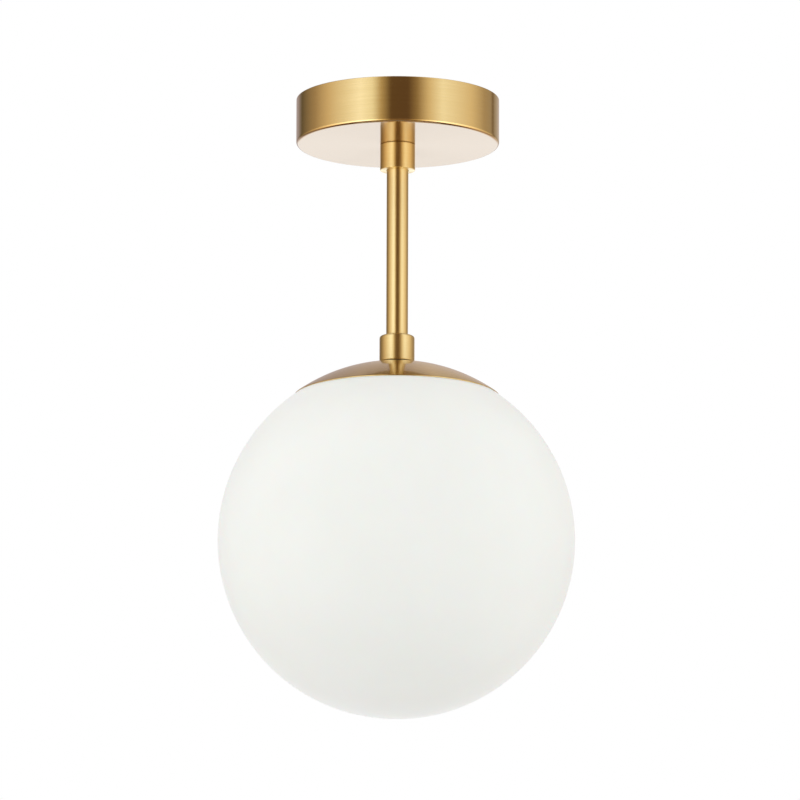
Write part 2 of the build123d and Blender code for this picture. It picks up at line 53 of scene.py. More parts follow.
scene.view_settings.view_transform = "Standard"
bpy.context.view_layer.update()  # brings the scene up to date before the solids' own boxes are read
print("frame loaded:", len(frame["nodes"]), "nodes")


def metres(look, *keys):
    return [look[key] * mm for key in keys]


# Node helpers, shared by the shader trees and the geometry trees

def plug(tree, socket, value):
    if isinstance(value, bpy.types.NodeSocket):
        tree.links.new(value, socket)
    else:
        socket.default_value = value


def addNode(tree, kind, inputs=None, **settings):
    node = tree.nodes.new(kind)
    for name, value in settings.items():
        setattr(node, name, value)
    for socket, value in (inputs or {}).items():
        plug(tree, node.inputs[socket], value)
    return node


def calc(tree, operation, first, second=0.0, third=0.0):
    inputs = {0: first, 1: second, 2: third}
    return addNode(tree, "ShaderNodeMath", inputs, operation=operation).outputs[0]


def times(tree, first, second):
    return calc(tree, "MULTIPLY", first, second)


def ramp(tree, value, low, high, toLow=0.0, toHigh=1.0, smooth=False):
    inputs = {"Value": value, "From Min": low, "From Max": high, "To Min": toLow, "To Max": toHigh}
    kind = "SMOOTHSTEP" if smooth else "LINEAR"
    return addNode(tree, "ShaderNodeMapRange", inputs, interpolation_type=kind).outputs[0]


def mixColour(tree, share, first, second):
    node = addNode(tree, "ShaderNodeMix", {"Factor": share}, data_type="RGBA")
    plug(tree, node.inputs[6], first)
    plug(tree, node.inputs[7], second)
    return node.outputs[2]


def vector(tree, x=0.0, y=0.0, z=0.0):
    return addNode(tree, "ShaderNodeCombineXYZ", {0: x, 1: y, 2: z}).outputs[0]


def axesOf(tree, place):
    return addNode(tree, "ShaderNodeSeparateXYZ", {0: place}).outputs


def objectPlace(tree):
    return addNode(tree, "ShaderNodeTexCoord").outputs["Object"]


def fromAxis(tree, axes):
    # distance from the Z axis
    squares = [calc(tree, "POWER", axes[index], 2.0) for index in (0, 1)]
    return calc(tree, "SQRT", calc(tree, "ADD", *squares))


def newTree(name, kind, inputs, outputs):
    tree = bpy.data.node_groups.new(name, kind)
    for side, sockets in (("INPUT", inputs), ("OUTPUT", outputs)):
        for label, value in sockets.items():
            tree.interface.new_socket(label, in_out=side, socket_type="NodeSocket" + value)
    given = tree.nodes.new("NodeGroupInput").outputs
    return tree, given, tree.nodes.new("NodeGroupOutput").inputs


# Shader groups: what more than one finish shows.
# span is the part of the noise that is drawn out to the full range
noiseLook = {
    "turnedLines": {"detail": 3.0, "roughness": 0.6, "span": (0.3, 0.7)},
    "fineGrain": {"detail": 4.0, "roughness": 0.5, "span": (0.32, 0.68)},
    "handling": {"detail": 2.0, "roughness": 0.5, "span": (0.3, 0.7)},
}


def noiseMask(tree, place, scale, *limits, smooth=False):
    look = noiseLook[tree.name]
    noise = addNode(tree, "ShaderNodeTexNoise", {
        "Vector": place, "Scale": scale, "Detail": look["detail"], "Roughness": look["roughness"],
    })
    return ramp(tree, noise.outputs["Fac"], *look["span"], *limits, smooth=smooth)


def turnedLinesGroup():
    # fine lines round the Z axis, as a lathe or a brushing wheel leaves them on walls and flats
    tree, given, result = newTree(
        "turnedLines", "ShaderNodeTree", {"Lines": "Float", "Run": "Float"}, {"Streak": "Float"},
    )
    axes = axesOf(tree, objectPlace(tree))
    across = times(tree, calc(tree, "ADD", axes[2], fromAxis(tree, axes)), given["Lines"])
    along = [times(tree, axes[index], given["Run"]) for index in (0, 1)]
    plug(tree, result["Streak"], noiseMask(tree, vector(tree, *along, across), 1.0))
    return tree


def grainGroup():
    # even speckle, for moulded, cast and plated surfaces
    tree, given, result = newTree(
        "fineGrain", "ShaderNodeTree",
        {"Scale": "Float", "Light": "Color", "Dark": "Color"}, {"Color": "Color", "Mask": "Float"},
    )
    mask = noiseMask(tree, objectPlace(tree), given["Scale"])
    plug(tree, result["Mask"], mask)
    plug(tree, result["Color"], mixColour(tree, mask, given["Dark"], given["Light"]))
    return tree


def handlingGroup():
    # broad soft patches left by wiping and handling, as a value between two limits
    tree, given, result = newTree(
        "handling", "ShaderNodeTree",
        {"Scale": "Float", "Low": "Float", "High": "Float"}, {"Value": "Float"},
    )
    limits = given["Low"], given["High"]
    patches = noiseMask(tree, objectPlace(tree), given["Scale"], *limits, smooth=True)
    plug(tree, result["Value"], patches)
    return tree


turnedLines = turnedLinesGroup()
fineGrain = grainGroup()
handling = handlingGroup()


def newFinish(name, **constants):
    finish = bpy.data.materials.new(name)
    finish.use_nodes = True
    tree = finish.node_tree
    shader = tree.nodes["Principled BSDF"]
    for label, value in constants.items():
        shader.inputs[label.replace("_", " ")].default_value = value
    return finish, tree, shader.inputs


def placedGroup(tree, group, inputs):
    return addNode(tree, "ShaderNodeGroup", inputs, node_tree=group).outputs


def wiped(tree, scale, rough):
    # roughness that wanders between two limits
    return placedGroup(tree, handling, {"Scale": scale, "Low": rough[0], "High": rough[1]})["Value"]


def bump(tree, sockets, height, strength, distance):
    inputs = {"Height": height, "Strength": strength, "Distance": distance}
    plug(tree, sockets["Normal"], addNode(tree, "ShaderNodeBump", inputs).outputs[0])


def rgb(red, green, blue):
    return (red, green, blue, 1.0)


# Brass under clear lacquer: turned lines, a little tone between them, wiped patches in the gloss
brassLook = {
    "flat": rgb(0.46, 0.29, 0.12),  # the canopy's underside colour, painted darker: painted shade that dims what it mirrors
    "flatRough": 0.02,
    "flatEdge": (0.2, 1.2),         # above the underside, where its roughness and painted shade turn into the wall's
    "coatGloss": 0.04,
    "coatIor": 1.55,
    "drawTurn": 0.25,               # of a full turn
    "lineRough": 0.06,              # how much duller the deepest line is
    "lineHeight": 0.05,
    "wipeScale": 28.0,
}
spunTones = {"light": rgb(0.90, 0.71, 0.345), "dark": rgb(0.86, 0.66, 0.30)}
brushing = {"lines": 2600.0, "run": 26.0}
# dark is the tone in the lines, lines and run how fine they are across and along,
# draw how far they draw out what is mirrored
brassKinds = {
    "lacqueredBrass": {
        **spunTones, **brushing, "rough": (0.10, 0.13), "depth": 0.09, "draw": 0.85, "coat": 1.0,
    },
    "polishedBrass": {
        **spunTones, "lines": 900.0, "run": 18.0,
        "rough": (0.18, 0.21), "depth": 0.03, "draw": 0.95, "coat": 1.0,
    },
    # stem and collars: rougher, with tones painted lighter than the canopy's brass as painted
    # highlight
    "buffedBrass": {
        "light": rgb(0.975, 0.80, 0.415), "dark": rgb(0.935, 0.75, 0.375), **brushing,
        "rough": (0.29, 0.32), "depth": 0.035, "draw": 1.0, "coat": 0.7,
    },
    # slip collar: rougher, with tones painted lighter than the canopy's brass as painted highlight,
    # and a shade more orange than the stem's
    "slipBrass": {
        "light": rgb(0.945, 0.745, 0.345), "dark": rgb(0.905, 0.695, 0.30), **brushing,
        "rough": (0.29, 0.32), "depth": 0.035, "draw": 1.0, "coat": 0.6,
    },
}


def brassFinish(name, flatLevel=None):
    kind = brassKinds[name]
    finish, tree, sockets = newFinish(
        name, Metallic=1.0, Coat_Weight=kind["coat"], Coat_Roughness=brassLook["coatGloss"],
        Coat_IOR=brassLook["coatIor"], Anisotropic=kind["draw"],
        Anisotropic_Rotation=brassLook["drawTurn"],
    )
    place = objectPlace(tree)
    along = addNode(
        tree, "ShaderNodeVectorMath", {0: (0.0, 0.0, 1.0), 1: place}, operation="CROSS_PRODUCT",
    )
    plug(tree, sockets["Tangent"], along.outputs[0])
    streak = placedGroup(tree, turnedLines, {"Lines": kind["lines"], "Run": kind["run"]})["Streak"]
    colour = mixColour(tree, streak, kind["dark"], kind["light"])
    dull = wiped(tree, brassLook["wipeScale"], kind["rough"])
    rough = calc(tree, "MULTIPLY_ADD", streak, brassLook["lineRough"], dull)
    # below flatLevel the underside is rougher, and its colour is painted darker: painted shade
    if flatLevel is not None:
        height = axesOf(tree, place)[2]
        start, end = (flatLevel + edge * mm for edge in brassLook["flatEdge"])
        under = ramp(tree, height, start, end, 1.0, 0.0, smooth=True)
        rough = calc(tree, "MULTIPLY_ADD", under, brassLook["flatRough"], rough)
        colour = mixColour(tree, under, colour, brassLook["flat"])
    plug(tree, sockets["Base Color"], colour)
    plug(tree, sockets["Roughness"], rough)
    bump(tree, sockets, streak, kind["depth"], brassLook["lineHeight"] * mm)
    return finish


# Etched opal glass: nearly even white, a faint cloudiness, a dull skin with a soft sheen
glassLook = {
    "light": rgb(0.915, 0.921, 0.885),
    "dark": rgb(0.895, 0.902, 0.865),
    "cloudScale": 22.0,
    "skinScale": 1800.0,
    "skinDepth": 0.05,
    "skinHeight": 0.02,
    "wipeScale": 35.0,
    "rough": (0.48, 0.56),
    "gloss": 0.12,
    "sheen": 0.8,
    "sheenRough": 0.3,
    "depth": 0.15,       # how much light goes into the glass
    "reach": 0.004,      # and how far, in metres
}


def glassFinish():
    finish, tree, sockets = newFinish(
        "opalGlass", Specular_IOR_Level=glassLook["gloss"],
        Sheen_Weight=glassLook["sheen"], Sheen_Roughness=glassLook["sheenRough"],
        Subsurface_Weight=glassLook["depth"], Subsurface_Scale=glassLook["reach"],
    )
    cloud = placedGroup(tree, fineGrain, {
        "Scale": glassLook["cloudScale"], "Light": glassLook["light"], "Dark": glassLook["dark"],
    })["Color"]
    plug(tree, sockets["Base Color"], cloud)
    plug(tree, sockets["Roughness"], wiped(tree, glassLook["wipeScale"], glassLook["rough"]))
    skin = placedGroup(tree, fineGrain, {"Scale": glassLook["skinScale"]})["Mask"]
    bump(tree, sockets, skin, glassLook["skinDepth"], glassLook["skinHeight"] * mm)
    return finish


# Plain finishes, speckled or turned
grainLook = {"wipeScale": 60.0, "height": 0.05}
turnedLook = {"run": 40.0, "wipeScale": 90.0, "depth": 0.08, "height": 0.05}


def grainFinish(name, light, dark, scale, rough, relief, **constants):
    finish, tree, sockets = newFinish(name, **constants)
    tones = {"Scale": scale, "Light": rgb(*light), "Dark": rgb(*dark)}
    grain = placedGroup(tree, fineGrain, tones)
    plug(tree, sockets["Base Color"], grain["Color"])
    plug(tree, sockets["Roughness"], wiped(tree, grainLook["wipeScale"], rough))
    bump(tree, sockets, grain["Mask"], relief, grainLook["height"] * mm)
    return finish


def turnedFinish(name, light, dark, lines, rough):
    finish, tree, sockets = newFinish(name, Metallic=1.0)
    streak = placedGroup(tree, turnedLines, {"Lines": lines, "Run": turnedLook["run"]})["Streak"]
    plug(tree, sockets["Base Color"], mixColour(tree, streak, rgb(*dark), rgb(*light)))
    plug(tree, sockets["Roughness"], wiped(tree, turnedLook["wipeScale"], rough))
    bump(tree, sockets, streak, turnedLook["depth"], turnedLook["height"] * mm)
    return finish


# one finish for each material slot of the record
finishes = {
    "lacquered_brass": brassFinish("lacqueredBrass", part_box("canopy")[0].z),
    "polished_brass": brassFinish("polishedBrass"),
    "opal_glass": glassFinish(),
    "zinc_steel": grainFinish(
        "zincSteel", light=(0.70, 0.71, 0.72), dark=(0.56, 0.575, 0.60),
        scale=420.0, rough=(0.24, 0.38), relief=0.06, Metallic=1.0,
    ),
    "spring_steel": grainFinish(
        "springSteel", light=(0.50, 0.50, 0.50), dark=(0.36, 0.37, 0.40),
        scale=300.0, rough=(0.20, 0.30), relief=0.04, Metallic=1.0,
    ),
    "black_steel": grainFinish(
        "blackSteel", light=(0.050, 0.050, 0.052), dark=(0.028, 0.028, 0.030),
        scale=900.0, rough=(0.35, 0.5), relief=0.08,
    ),
    "plain_brass": turnedFinish(
        "plainBrass", light=(0.82, 0.64, 0.33), dark=(0.68, 0.50, 0.22),
        lines=1800.0, rough=(0.22, 0.36),
    ),
    "black_phenolic": grainFinish(
        "blackPhenolic", light=(0.030, 0.029, 0.028), dark=(0.018, 0.017, 0.017),
        scale=700.0, rough=(0.28, 0.42), relief=0.05,
    ),
    "ceramic_white": grainFinish(
        "glazedCeramic", light=(0.84, 0.83, 0.79), dark=(0.78, 0.77, 0.72),
        scale=260.0, rough=(0.12, 0.2), relief=0.03,
    ),
    "block_plastic": grainFinish(
        "nylonBlock", light=(0.84, 0.84, 0.80), dark=(0.78, 0.78, 0.73),
        scale=500.0, rough=(0.38, 0.5), relief=0.05, Subsurface_Weight=0.2, Subsurface_Scale=0.002,
    ),
    "washer_rubber": grainFinish(
        "fibreWasher", light=(0.060, 0.055, 0.052), dark=(0.030, 0.028, 0.026),
        scale=1500.0, rough=(0.7, 0.85), relief=0.2,
    ),
    "clear_silicone": grainFinish(
        "milkySilicone", light=(0.82, 0.82, 0.79), dark=(0.75, 0.75, 0.72),
        scale=350.0, rough=(0.4, 0.55), relief=0.05,
    ),
    "lead_brown": grainFinish(
        "brownLeadSkin", light=(0.26, 0.125, 0.06), dark=(0.19, 0.085, 0.04),
        scale=600.0, rough=(0.38, 0.5), relief=0.05,
    ),
    "lead_blue": grainFinish(
        "blueLeadSkin", light=(0.07, 0.20, 0.52), dark=(0.04, 0.14, 0.40),
        scale=600.0, rough=(0.38, 0.5), relief=0.05,
    ),
    "lamp_white": grainFinish(
        "whiteMoulding", light=(0.86, 0.86, 0.83), dark=(0.81, 0.81, 0.78),
        scale=800.0, rough=(0.36, 0.48), relief=0.06,
    ),
    "lamp_opal": grainFinish(
        "satinDiffuser", light=(0.89, 0.89, 0.86), dark=(0.86, 0.86, 0.83),
        scale=120.0, rough=(0.42, 0.52), relief=0.03, Subsurface_Weight=0.2, Subsurface_Scale=0.003,
    ),
    "lamp_nickel": turnedFinish(
        "nickelPlate", light=(0.76, 0.74, 0.70), dark=(0.64, 0.62, 0.58),
        lines=1400.0, rough=(0.14, 0.26),
    ),
    "lamp_black": grainFinish(
        "blackGlass", light=(0.020, 0.018, 0.022), dark=(0.008, 0.008, 0.010),
        scale=400.0, rough=(0.06, 0.14), relief=0.02,
    ),
    "solder": grainFinish(
        "solderButton", light=(0.66, 0.66, 0.65), dark=(0.46, 0.46, 0.46),
        scale=900.0, rough=(0.3, 0.5), relief=0.2, Metallic=1.0,
    ),
    "board_white": grainFinish(
        "whiteBoard", light=(0.82, 0.83, 0.81), dark=(0.76, 0.77, 0.75),
        scale=300.0, rough=(0.3, 0.4), relief=0.03,
    ),
}
for row in frame["record"]["subparts"]:
    node = frame["nodes"][row["node"]]
    for slot in node.material_slots:
        slot.material = finishes[row["material_slot"]]
# two more, for pieces of lacquered brass that are brushed duller and whose tones are painted
# lighter: painted highlight
finishes["brushed_painted_highlight_brass"] = brassFinish("buffedBrass")
finishes["slip_brass"] = brassFinish("slipBrass")
print("finishes made:", len(finishes))


# Geometry trees

def endTree(tree, output, geometry, finish):
    real = addNode(tree, "GeometryNodeRealizeInstances", {"Geometry": geometry}).outputs[0]
    dressed = addNode(tree, "GeometryNodeSetMaterial", {"Geometry": real, "Material": finish})
    plug(tree, output, dressed.outputs[0])


def cutAway(tree, body, cutter):
    inputs = {"Mesh 1": body, "Mesh 2": cutter}
    return addNode(tree, "GeometryNodeMeshBoolean", inputs, operation="DIFFERENCE").outputs[0]


def turningTree():
    # spins an outline, drawn as points in radius and height, about the Z axis,
    # and can roll a thread into it
    tree, given, result = newTree(
        "turnedPiece", "GeometryNodeTree",
        {
            "Outline": "Geometry", "Segments": "Int", "Thread Pitch": "Float",
            "Thread Depth": "Float", "Thread Low": "Float", "Thread High": "Float",
            "Thread Inside": "Float", "Finish": "Material",
        },
        {"Piece": "Geometry"},
    )
    outline, segments, pitch = given["Outline"], given["Segments"], given["Thread Pitch"]
    threadLow, threadHigh = given["Thread Low"], given["Thread High"]
    sizes = addNode(tree, "GeometryNodeAttributeDomainSize", {"Geometry": outline})
    count = sizes.outputs["Point Count"]
    columns = calc(tree, "ADD", segments, 1.0)
    grid = addNode(tree, "GeometryNodeMeshGrid", {"Vertices X": columns, "Vertices Y": count})
    index = addNode(tree, "GeometryNodeInputIndex").outputs[0]
    column = calc(tree, "FLOOR", calc(tree, "DIVIDE", calc(tree, "ADD", index, 0.5), count))
    spot = calc(tree, "SUBTRACT", index, times(tree, column, count))
    sample = addNode(
        tree, "GeometryNodeSampleIndex", {"Geometry": outline, "Index": spot},
        data_type="FLOAT_VECTOR",
    )
    plug(tree, sample.inputs["Value"], addNode(tree, "GeometryNodeInputPosition").outputs[0])
    drawn = axesOf(tree, sample.outputs[0])
    angle = times(tree, calc(tree, "DIVIDE", column, segments), 2 * pi)
    climb = times(tree, calc(tree, "DIVIDE", drawn[2], pitch), 2 * pi)
    wave = calc(tree, "COSINE", calc(tree, "SUBTRACT", climb, angle))
    groove = calc(tree, "MULTIPLY_ADD", wave, -0.5, 0.5)
    lowEnd = calc(tree, "ADD", threadLow, pitch)
    highEnd = calc(tree, "SUBTRACT", threadHigh, pitch)
    started = ramp(tree, drawn[2], threadLow, lowEnd, smooth=True)
    ended = ramp(tree, drawn[2], highEnd, threadHigh, 1.0, 0.0, smooth=True)
    outside = calc(tree, "GREATER_THAN", drawn[0], given["Thread Inside"])
    share = times(tree, times(tree, started, ended), outside)
    cut = times(tree, times(tree, groove, share), given["Thread Depth"])
    radius = calc(tree, "SUBTRACT", drawn[0], cut)
    around = [times(tree, radius, calc(tree, part, angle)) for part in ("COSINE", "SINE")]
    spun = addNode(tree, "GeometryNodeSetPosition", {
        "Geometry": grid.outputs["Mesh"], "Position": vector(tree, *around, drawn[2]),
    }).outputs[0]
    closed = addNode(tree, "GeometryNodeMergeByDistance", {"Geometry": spun, "Distance": weld})
    endTree(tree, result["Piece"], closed.outputs[0], given["Finish"])
    return tree


def fastenerTree():
    # sets one fastener on each point, turned to its axis, each at its own angle,
    # with a driver slot if it has one
    tree, given, result = newTree(
        "fastenerSet", "GeometryNodeTree",
        {
            "Places": "Geometry", "Fastener": "Object", "Slotted": "Bool",
            "Slot Width": "Float", "Slot Depth": "Float", "Slot Length": "Float",
            "Axis Turn": "Vector", "Seed": "Int", "Finish": "Material",
        },
        {"Set": "Geometry"},
    )
    source = addNode(tree, "GeometryNodeObjectInfo", {"Object": given["Fastener"]})
    blank = source.outputs["Geometry"]
    depth = times(tree, given["Slot Depth"], 2.0)
    cutter = vector(tree, given["Slot Length"], given["Slot Width"], depth)
    blade = addNode(tree, "GeometryNodeMeshCube", {"Size": cutter}).outputs["Mesh"]
    kinds = {"Switch": given["Slotted"], "False": blank, "True": cutAway(tree, blank, blade)}
    choice = addNode(tree, "GeometryNodeSwitch", kinds, input_type="GEOMETRY").outputs[0]
    spin = addNode(tree, "FunctionNodeRandomValue", {"Seed": given["Seed"]}, data_type="FLOAT")
    spin.inputs[3].default_value = 2 * pi
    ownTurn, axisTurn = (
        addNode(tree, "FunctionNodeEulerToRotation", {0: turn}).outputs[0]
        for turn in (vector(tree, z=spin.outputs[1]), given["Axis Turn"])
    )
    turn = addNode(
        tree, "FunctionNodeRotateRotation", {0: ownTurn, 1: axisTurn}, rotation_space="GLOBAL",
    ).outputs[0]
    placed = addNode(tree, "GeometryNodeInstanceOnPoints", {
        "Points": given["Places"], "Instance": choice, "Rotation": turn,
    })
    endTree(tree, result["Set"], placed.outputs[0], given["Finish"])
    return tree


def crossHoleTree(sides=40):
    # drills one round hole from the Z axis out to the back of a turned piece
    tree, given, result = newTree(
        "crossHole", "GeometryNodeTree",
        {
            "Piece": "Geometry", "Radius": "Float", "Reach": "Float", "Height": "Float",
            "Finish": "Material",
        },
        {"Drilled": "Geometry"},
    )
    sizes = {"Vertices": sides, "Radius": given["Radius"], "Depth": given["Reach"]}
    drill = addNode(tree, "GeometryNodeMeshCylinder", sizes).outputs["Mesh"]
    middle = vector(tree, y=times(tree, given["Reach"], 0.5), z=given["Height"])
    aimed = addNode(tree, "GeometryNodeTransform", {
        "Geometry": drill, "Translation": middle, "Rotation": (pi / 2, 0.0, 0.0),
    }).outputs[0]
    endTree(tree, result["Drilled"], cutAway(tree, given["Piece"], aimed), given["Finish"])
    return tree


turnTree = turningTree()
fastenTree = fastenerTree()
holeTree = crossHoleTree()


def addObject(name, data):
    piece = bpy.data.objects.new(name, data)
    scene.collection.objects.link(piece)
    return piece


def meshObject(name, points, faces=()):
    mesh = bpy.data.meshes.new(name)
    mesh.from_pydata(points, [], faces)
    return addObject(name, mesh)


def evaluatedMesh(piece):
    return bpy.data.meshes.new_from_object(
        piece.evaluated_get(bpy.context.evaluated_depsgraph_get()))


def shade(mesh, crease):
    mesh.shade_smooth()
    mesh.set_sharp_from_angle(angle=radians(crease))


def runTree(piece, tree, values, crease=35):
    # evaluates the tree on the object and keeps the result as its plain mesh
    modifier = piece.modifiers.new(tree.name, "NODES")
    modifier.node_group = tree
    inputs = [item for item in tree.interface.items_tree if item.in_out == "INPUT"]
    sockets = {item.name: item.identifier for item in inputs}
    for label, value in values.items():
        modifier[sockets[label]] = value
    start = piece.data
    made = evaluatedMesh(piece)
    piece.modifiers.remove(modifier)
    piece.data = made
    bpy.data.meshes.remove(start)
    made.name = piece.name
    shade(made, crease)
    return piece


def turned(name, outline, finish, segments, thread=None):
    piece = meshObject(name, [(radius, 0, height) for radius, height in outline])
    plain = {"Thread Pitch": 1.0, "Thread Depth": 0.0}
    values = {"Segments": segments, "Finish": finishes[finish], **(thread or plain)}
    return runTree(piece, turnTree, values)


def settle(piece, body, slot, *nodes):
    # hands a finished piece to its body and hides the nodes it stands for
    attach(piece, body)
    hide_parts(*nodes)


# Outline helpers: counter-clockwise in radius and height, so that faces point outwards

def arc(centre, radius, start, end, steps=8):
    angles = [radians(start + (end - start) * step / steps) for step in range(steps + 1)]
    return [(centre[0] + radius * cos(angle), centre[1] + radius * sin(angle)) for angle in angles]


def run(start, end, hold=0.3 * mm, steps=1, mostHold=0.25):
    # a straight stretch with a point close to each end, so that rounded edges beside it shade
    # cleanly. The points keep off by hold, or by the share mostHold of a short stretch
    across, up = end[0] - start[0], end[1] - start[1]
    near = min(hold / sqrt(across ** 2 + up ** 2), mostHold)
    shares = [near + (1 - 2 * near) * step / steps for step in range(steps + 1)]
    return [(start[0] + across * share, start[1] + up * share) for share in [0, *shares, 1]]


def joined(*stretches):
    # one outline from its stretches, without points that fall on each other
    outline = []
    for point in (point for stretch in stretches for point in stretch):
        last = outline[-1] if outline else None
        if last is None or abs(point[0] - last[0]) + abs(point[1] - last[1]) > weld:
            outline.append(point)
    return outline + [outline[0]]


def sleeve(low, high, outer, inner, lowEdge, highEdge):
    # outline of a plain sleeve with rounded outer edges
    return joined(
        run((inner, low), (outer - lowEdge, low)),
        arc((outer - lowEdge, low + lowEdge), lowEdge, -90, 0),
        run((outer, low + lowEdge), (outer, high - highEdge)),
        arc((outer - highEdge, high - highEdge), highEdge, 0, 90),
        run((outer - highEdge, high), (inner, high)),
        run((inner, high), (inner, low)),
    )


# Canopy: spun cup, open to the ceiling
canopyLook = {"wall": 1.0, "edge": 1.8, "rim": 0.4, "hole": 13.0, "segments": 192}


def makeCanopy():
    low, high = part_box("canopy")
    wall, edge, rim, hole = metres(canopyLook, "wall", "edge", "rim", "hole")
    radius, bottom, top = high.x, low.z, high.z
    corner = (radius - edge, bottom + edge)
    outline = joined(
        run((hole / 2, bottom), (corner[0], bottom)),
        arc(corner, edge, -90, 0, steps=12),
        run((radius, corner[1]), (radius, top - rim)),
        arc((radius - rim, top - rim), rim, 0, 90),
        arc((radius - wall + rim, top - rim), rim, 90, 180),
        run((radius - wall, top - rim), (radius - wall, corner[1])),
        arc(corner, edge - wall, 0, -90),
        run((corner[0], bottom + wall), (hole / 2, bottom + wall)),
        run((hole / 2, bottom + wall), (hole / 2, bottom), fineEdge),
    )
    piece = turned("canopyCup", outline, "lacquered_brass", canopyLook["segments"])
    settle(piece, "canopy", "lacquered_brass", "canopy")


# Stem and its two plain collars
stemLook = {"wall": 1.1, "edge": 0.3, "segments": 96}


def makeStem():
    low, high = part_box("stem_tube")
    wall, edge = metres(stemLook, "wall", "edge")
    outline = sleeve(low.z, high.z, high.x, high.x - wall, edge, edge)
    piece = turned("stemPipe", outline, "brushed_painted_highlight_brass", stemLook["segments"])
    settle(piece, "fixture", "lacquered_brass", "stem_tube")


# drillOver is how far the drill for the grub screw goes out past the wall
slipCollarLook = {
    "bore": 12.8, "lowEdge": 0.4, "topEdge": 0.5, "screwHole": 4.0, "drillOver": 1.0,
    "segments": 128,
}


def makeCanopyCollar():
    low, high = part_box("canopy_collar")
    bore, lowEdge, topEdge = metres(slipCollarLook, "bore", "lowEdge", "topEdge")
    screwHole, drillOver = metres(slipCollarLook, "screwHole", "drillOver")
    outline = sleeve(low.z, high.z, high.x, bore / 2, lowEdge, topEdge)
    piece = turned("slipCollar", outline, "slip_brass", slipCollarLook["segments"])
    screwLow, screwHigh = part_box("collar_grub_screw")
    runTree(piece, holeTree, {
        "Radius": screwHole / 2, "Reach": high.x + drillOver,
        "Height": (screwLow.z + screwHigh.z) / 2, "Finish": finishes["slip_brass"],
    })
    settle(piece, "canopy", "lacquered_brass", "canopy_collar")


# footLift is how much thicker the washer is than its solid, and how much higher the collar's foot
domeCollarLook = {
    "bore": 12.6, "edge": 1.5, "foot": 0.5, "footLift": 0.35, "nippleBore": 10.2, "socket": 11.0,
    "segments": 128, "washerSegments": 96,
}


def makeStemCollar():
    low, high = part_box("stem_collar")
    edge, foot, lift = metres(domeCollarLook, "edge", "foot", "footLift")
    bore, nipple, socket = metres(domeCollarLook, "bore", "nippleBore", "socket")
    outer, bottom, top = high.x, low.z + lift, high.z
    step = top - socket
    outline = joined(
        run((nipple / 2, bottom), (outer - foot, bottom)),
        arc((outer - foot, bottom + foot), foot, -90, 0, steps=10),
        run((outer, bottom + foot), (outer, top - edge)),
        arc((outer - edge, top - edge), edge, 0, 90, steps=10),
        run((outer - edge, top), (bore / 2, top)),
        run((bore / 2, top), (bore / 2, step)),
        run((bore / 2, step), (nipple / 2, step)),
        run((nipple / 2, step), (nipple / 2, bottom)),
    )
    piece = turned("domeCollar", outline, "brushed_painted_highlight_brass", domeCollarLook["segments"])
    settle(piece, "fixture", "lacquered_brass", "stem_collar")


def makeFootWasher():
    # a dark washer, made thicker so that it shows as the dark line under the collar: its own dark
    # colour, and painted shade in the gap
    low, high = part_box("collar_washer")
    lift, nipple = metres(domeCollarLook, "footLift", "nippleBore")
    outline = sleeve(low.z, high.z + lift, high.x, nipple / 2, fineEdge, fineEdge)
    piece = turned("footWasher", outline, "washer_rubber", domeCollarLook["washerSegments"])
    settle(piece, "fixture", "washer_rubber", "collar_washer")


# Globe, and what lies on it
globeLook = {
    "diameter": 203.0, "wall": 3.0, "mouth": 80.0, "mouthEdge": 0.6, "mouthHold": 0.2,
    "segments": 192, "rings": 96,
}
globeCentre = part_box("glass_globe")[0].z + globeLook["diameter"] * mm / 2


def onGlobe(stand, angle):
    # a point that stands so far off the glass, at an angle from its top
    reach = globeLook["diameter"] * mm / 2 + stand
    return reach * sin(radians(angle)), globeCentre + reach * cos(radians(angle))


def crown(rim, land, steps):
    # from the rim up to the land on a ball whose centre lies on the axis
    drop = rim[1] - land[1]
    middle = (rim[0] ** 2 + rim[1] ** 2 - land[0] ** 2 - land[1] ** 2) / (2 * drop)
    start, end = (degrees(atan2(point[1] - middle, point[0])) for point in (rim, land))
    return arc((0, middle), sqrt(rim[0] ** 2 + (rim[1] - middle) ** 2), start, end, steps)


# angles in degrees from the globe's top
domeLook = {
    "wall": 0.7, "lip": 0.52, "lipGap": 0.06, "rimAngle": 34.9, "hole": 10.2, "holeHold": 0.05,
    "land": 9.5, "segments": 192, "rings": 40,
}
linerLook = {
    "thick": 0.06, "gap": 0.015, "low": 34.2, "high": 31.4, "rings": 6, "segments": 192,
}


def makeDome():
    # spun thinner towards its rim, where it closes in on the glass
    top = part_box("dome_cap")[1].z
    wall, lip, gap, land = metres(domeLook, "wall", "lip", "lipGap", "land")
    hole, holeHold = metres(domeLook, "hole", "holeHold")
    angle, rings = domeLook["rimAngle"], domeLook["rings"]
    under = top - wall
    landInside = land - wall / 2
    outline = joined(
        arc(onGlobe(gap + lip / 2, angle), lip / 2, -90 - angle, 90 - angle),
        crown(onGlobe(gap + lip, angle), (land, top), rings),
        run((land, top), (hole / 2, top)),
        run((hole / 2, top), (hole / 2, under), holeHold),
        run((hole / 2, under), (landInside, under)),
        crown(onGlobe(gap, angle), (landInside, under), rings)[::-1],
    )
    piece = turned("domeCap", outline, "polished_brass", domeLook["segments"])
    settle(piece, "fixture", "polished_brass", "dome_cap")


def makeLiner():
    gap, thick = metres(linerLook, "gap", "thick")
    low, high, rings = linerLook["low"], linerLook["high"], linerLook["rings"]
    angles = [low + (high - low) * step / rings for step in range(rings + 1)]
    outline = joined(
        [onGlobe(gap + thick, angle) for angle in angles],
        [onGlobe(gap, angle) for angle in angles[::-1]],
    )
    piece = turned("rimLiner", outline, "clear_silicone", linerLook["segments"])
    settle(piece, "fixture", "clear_silicone", "dome_liner")


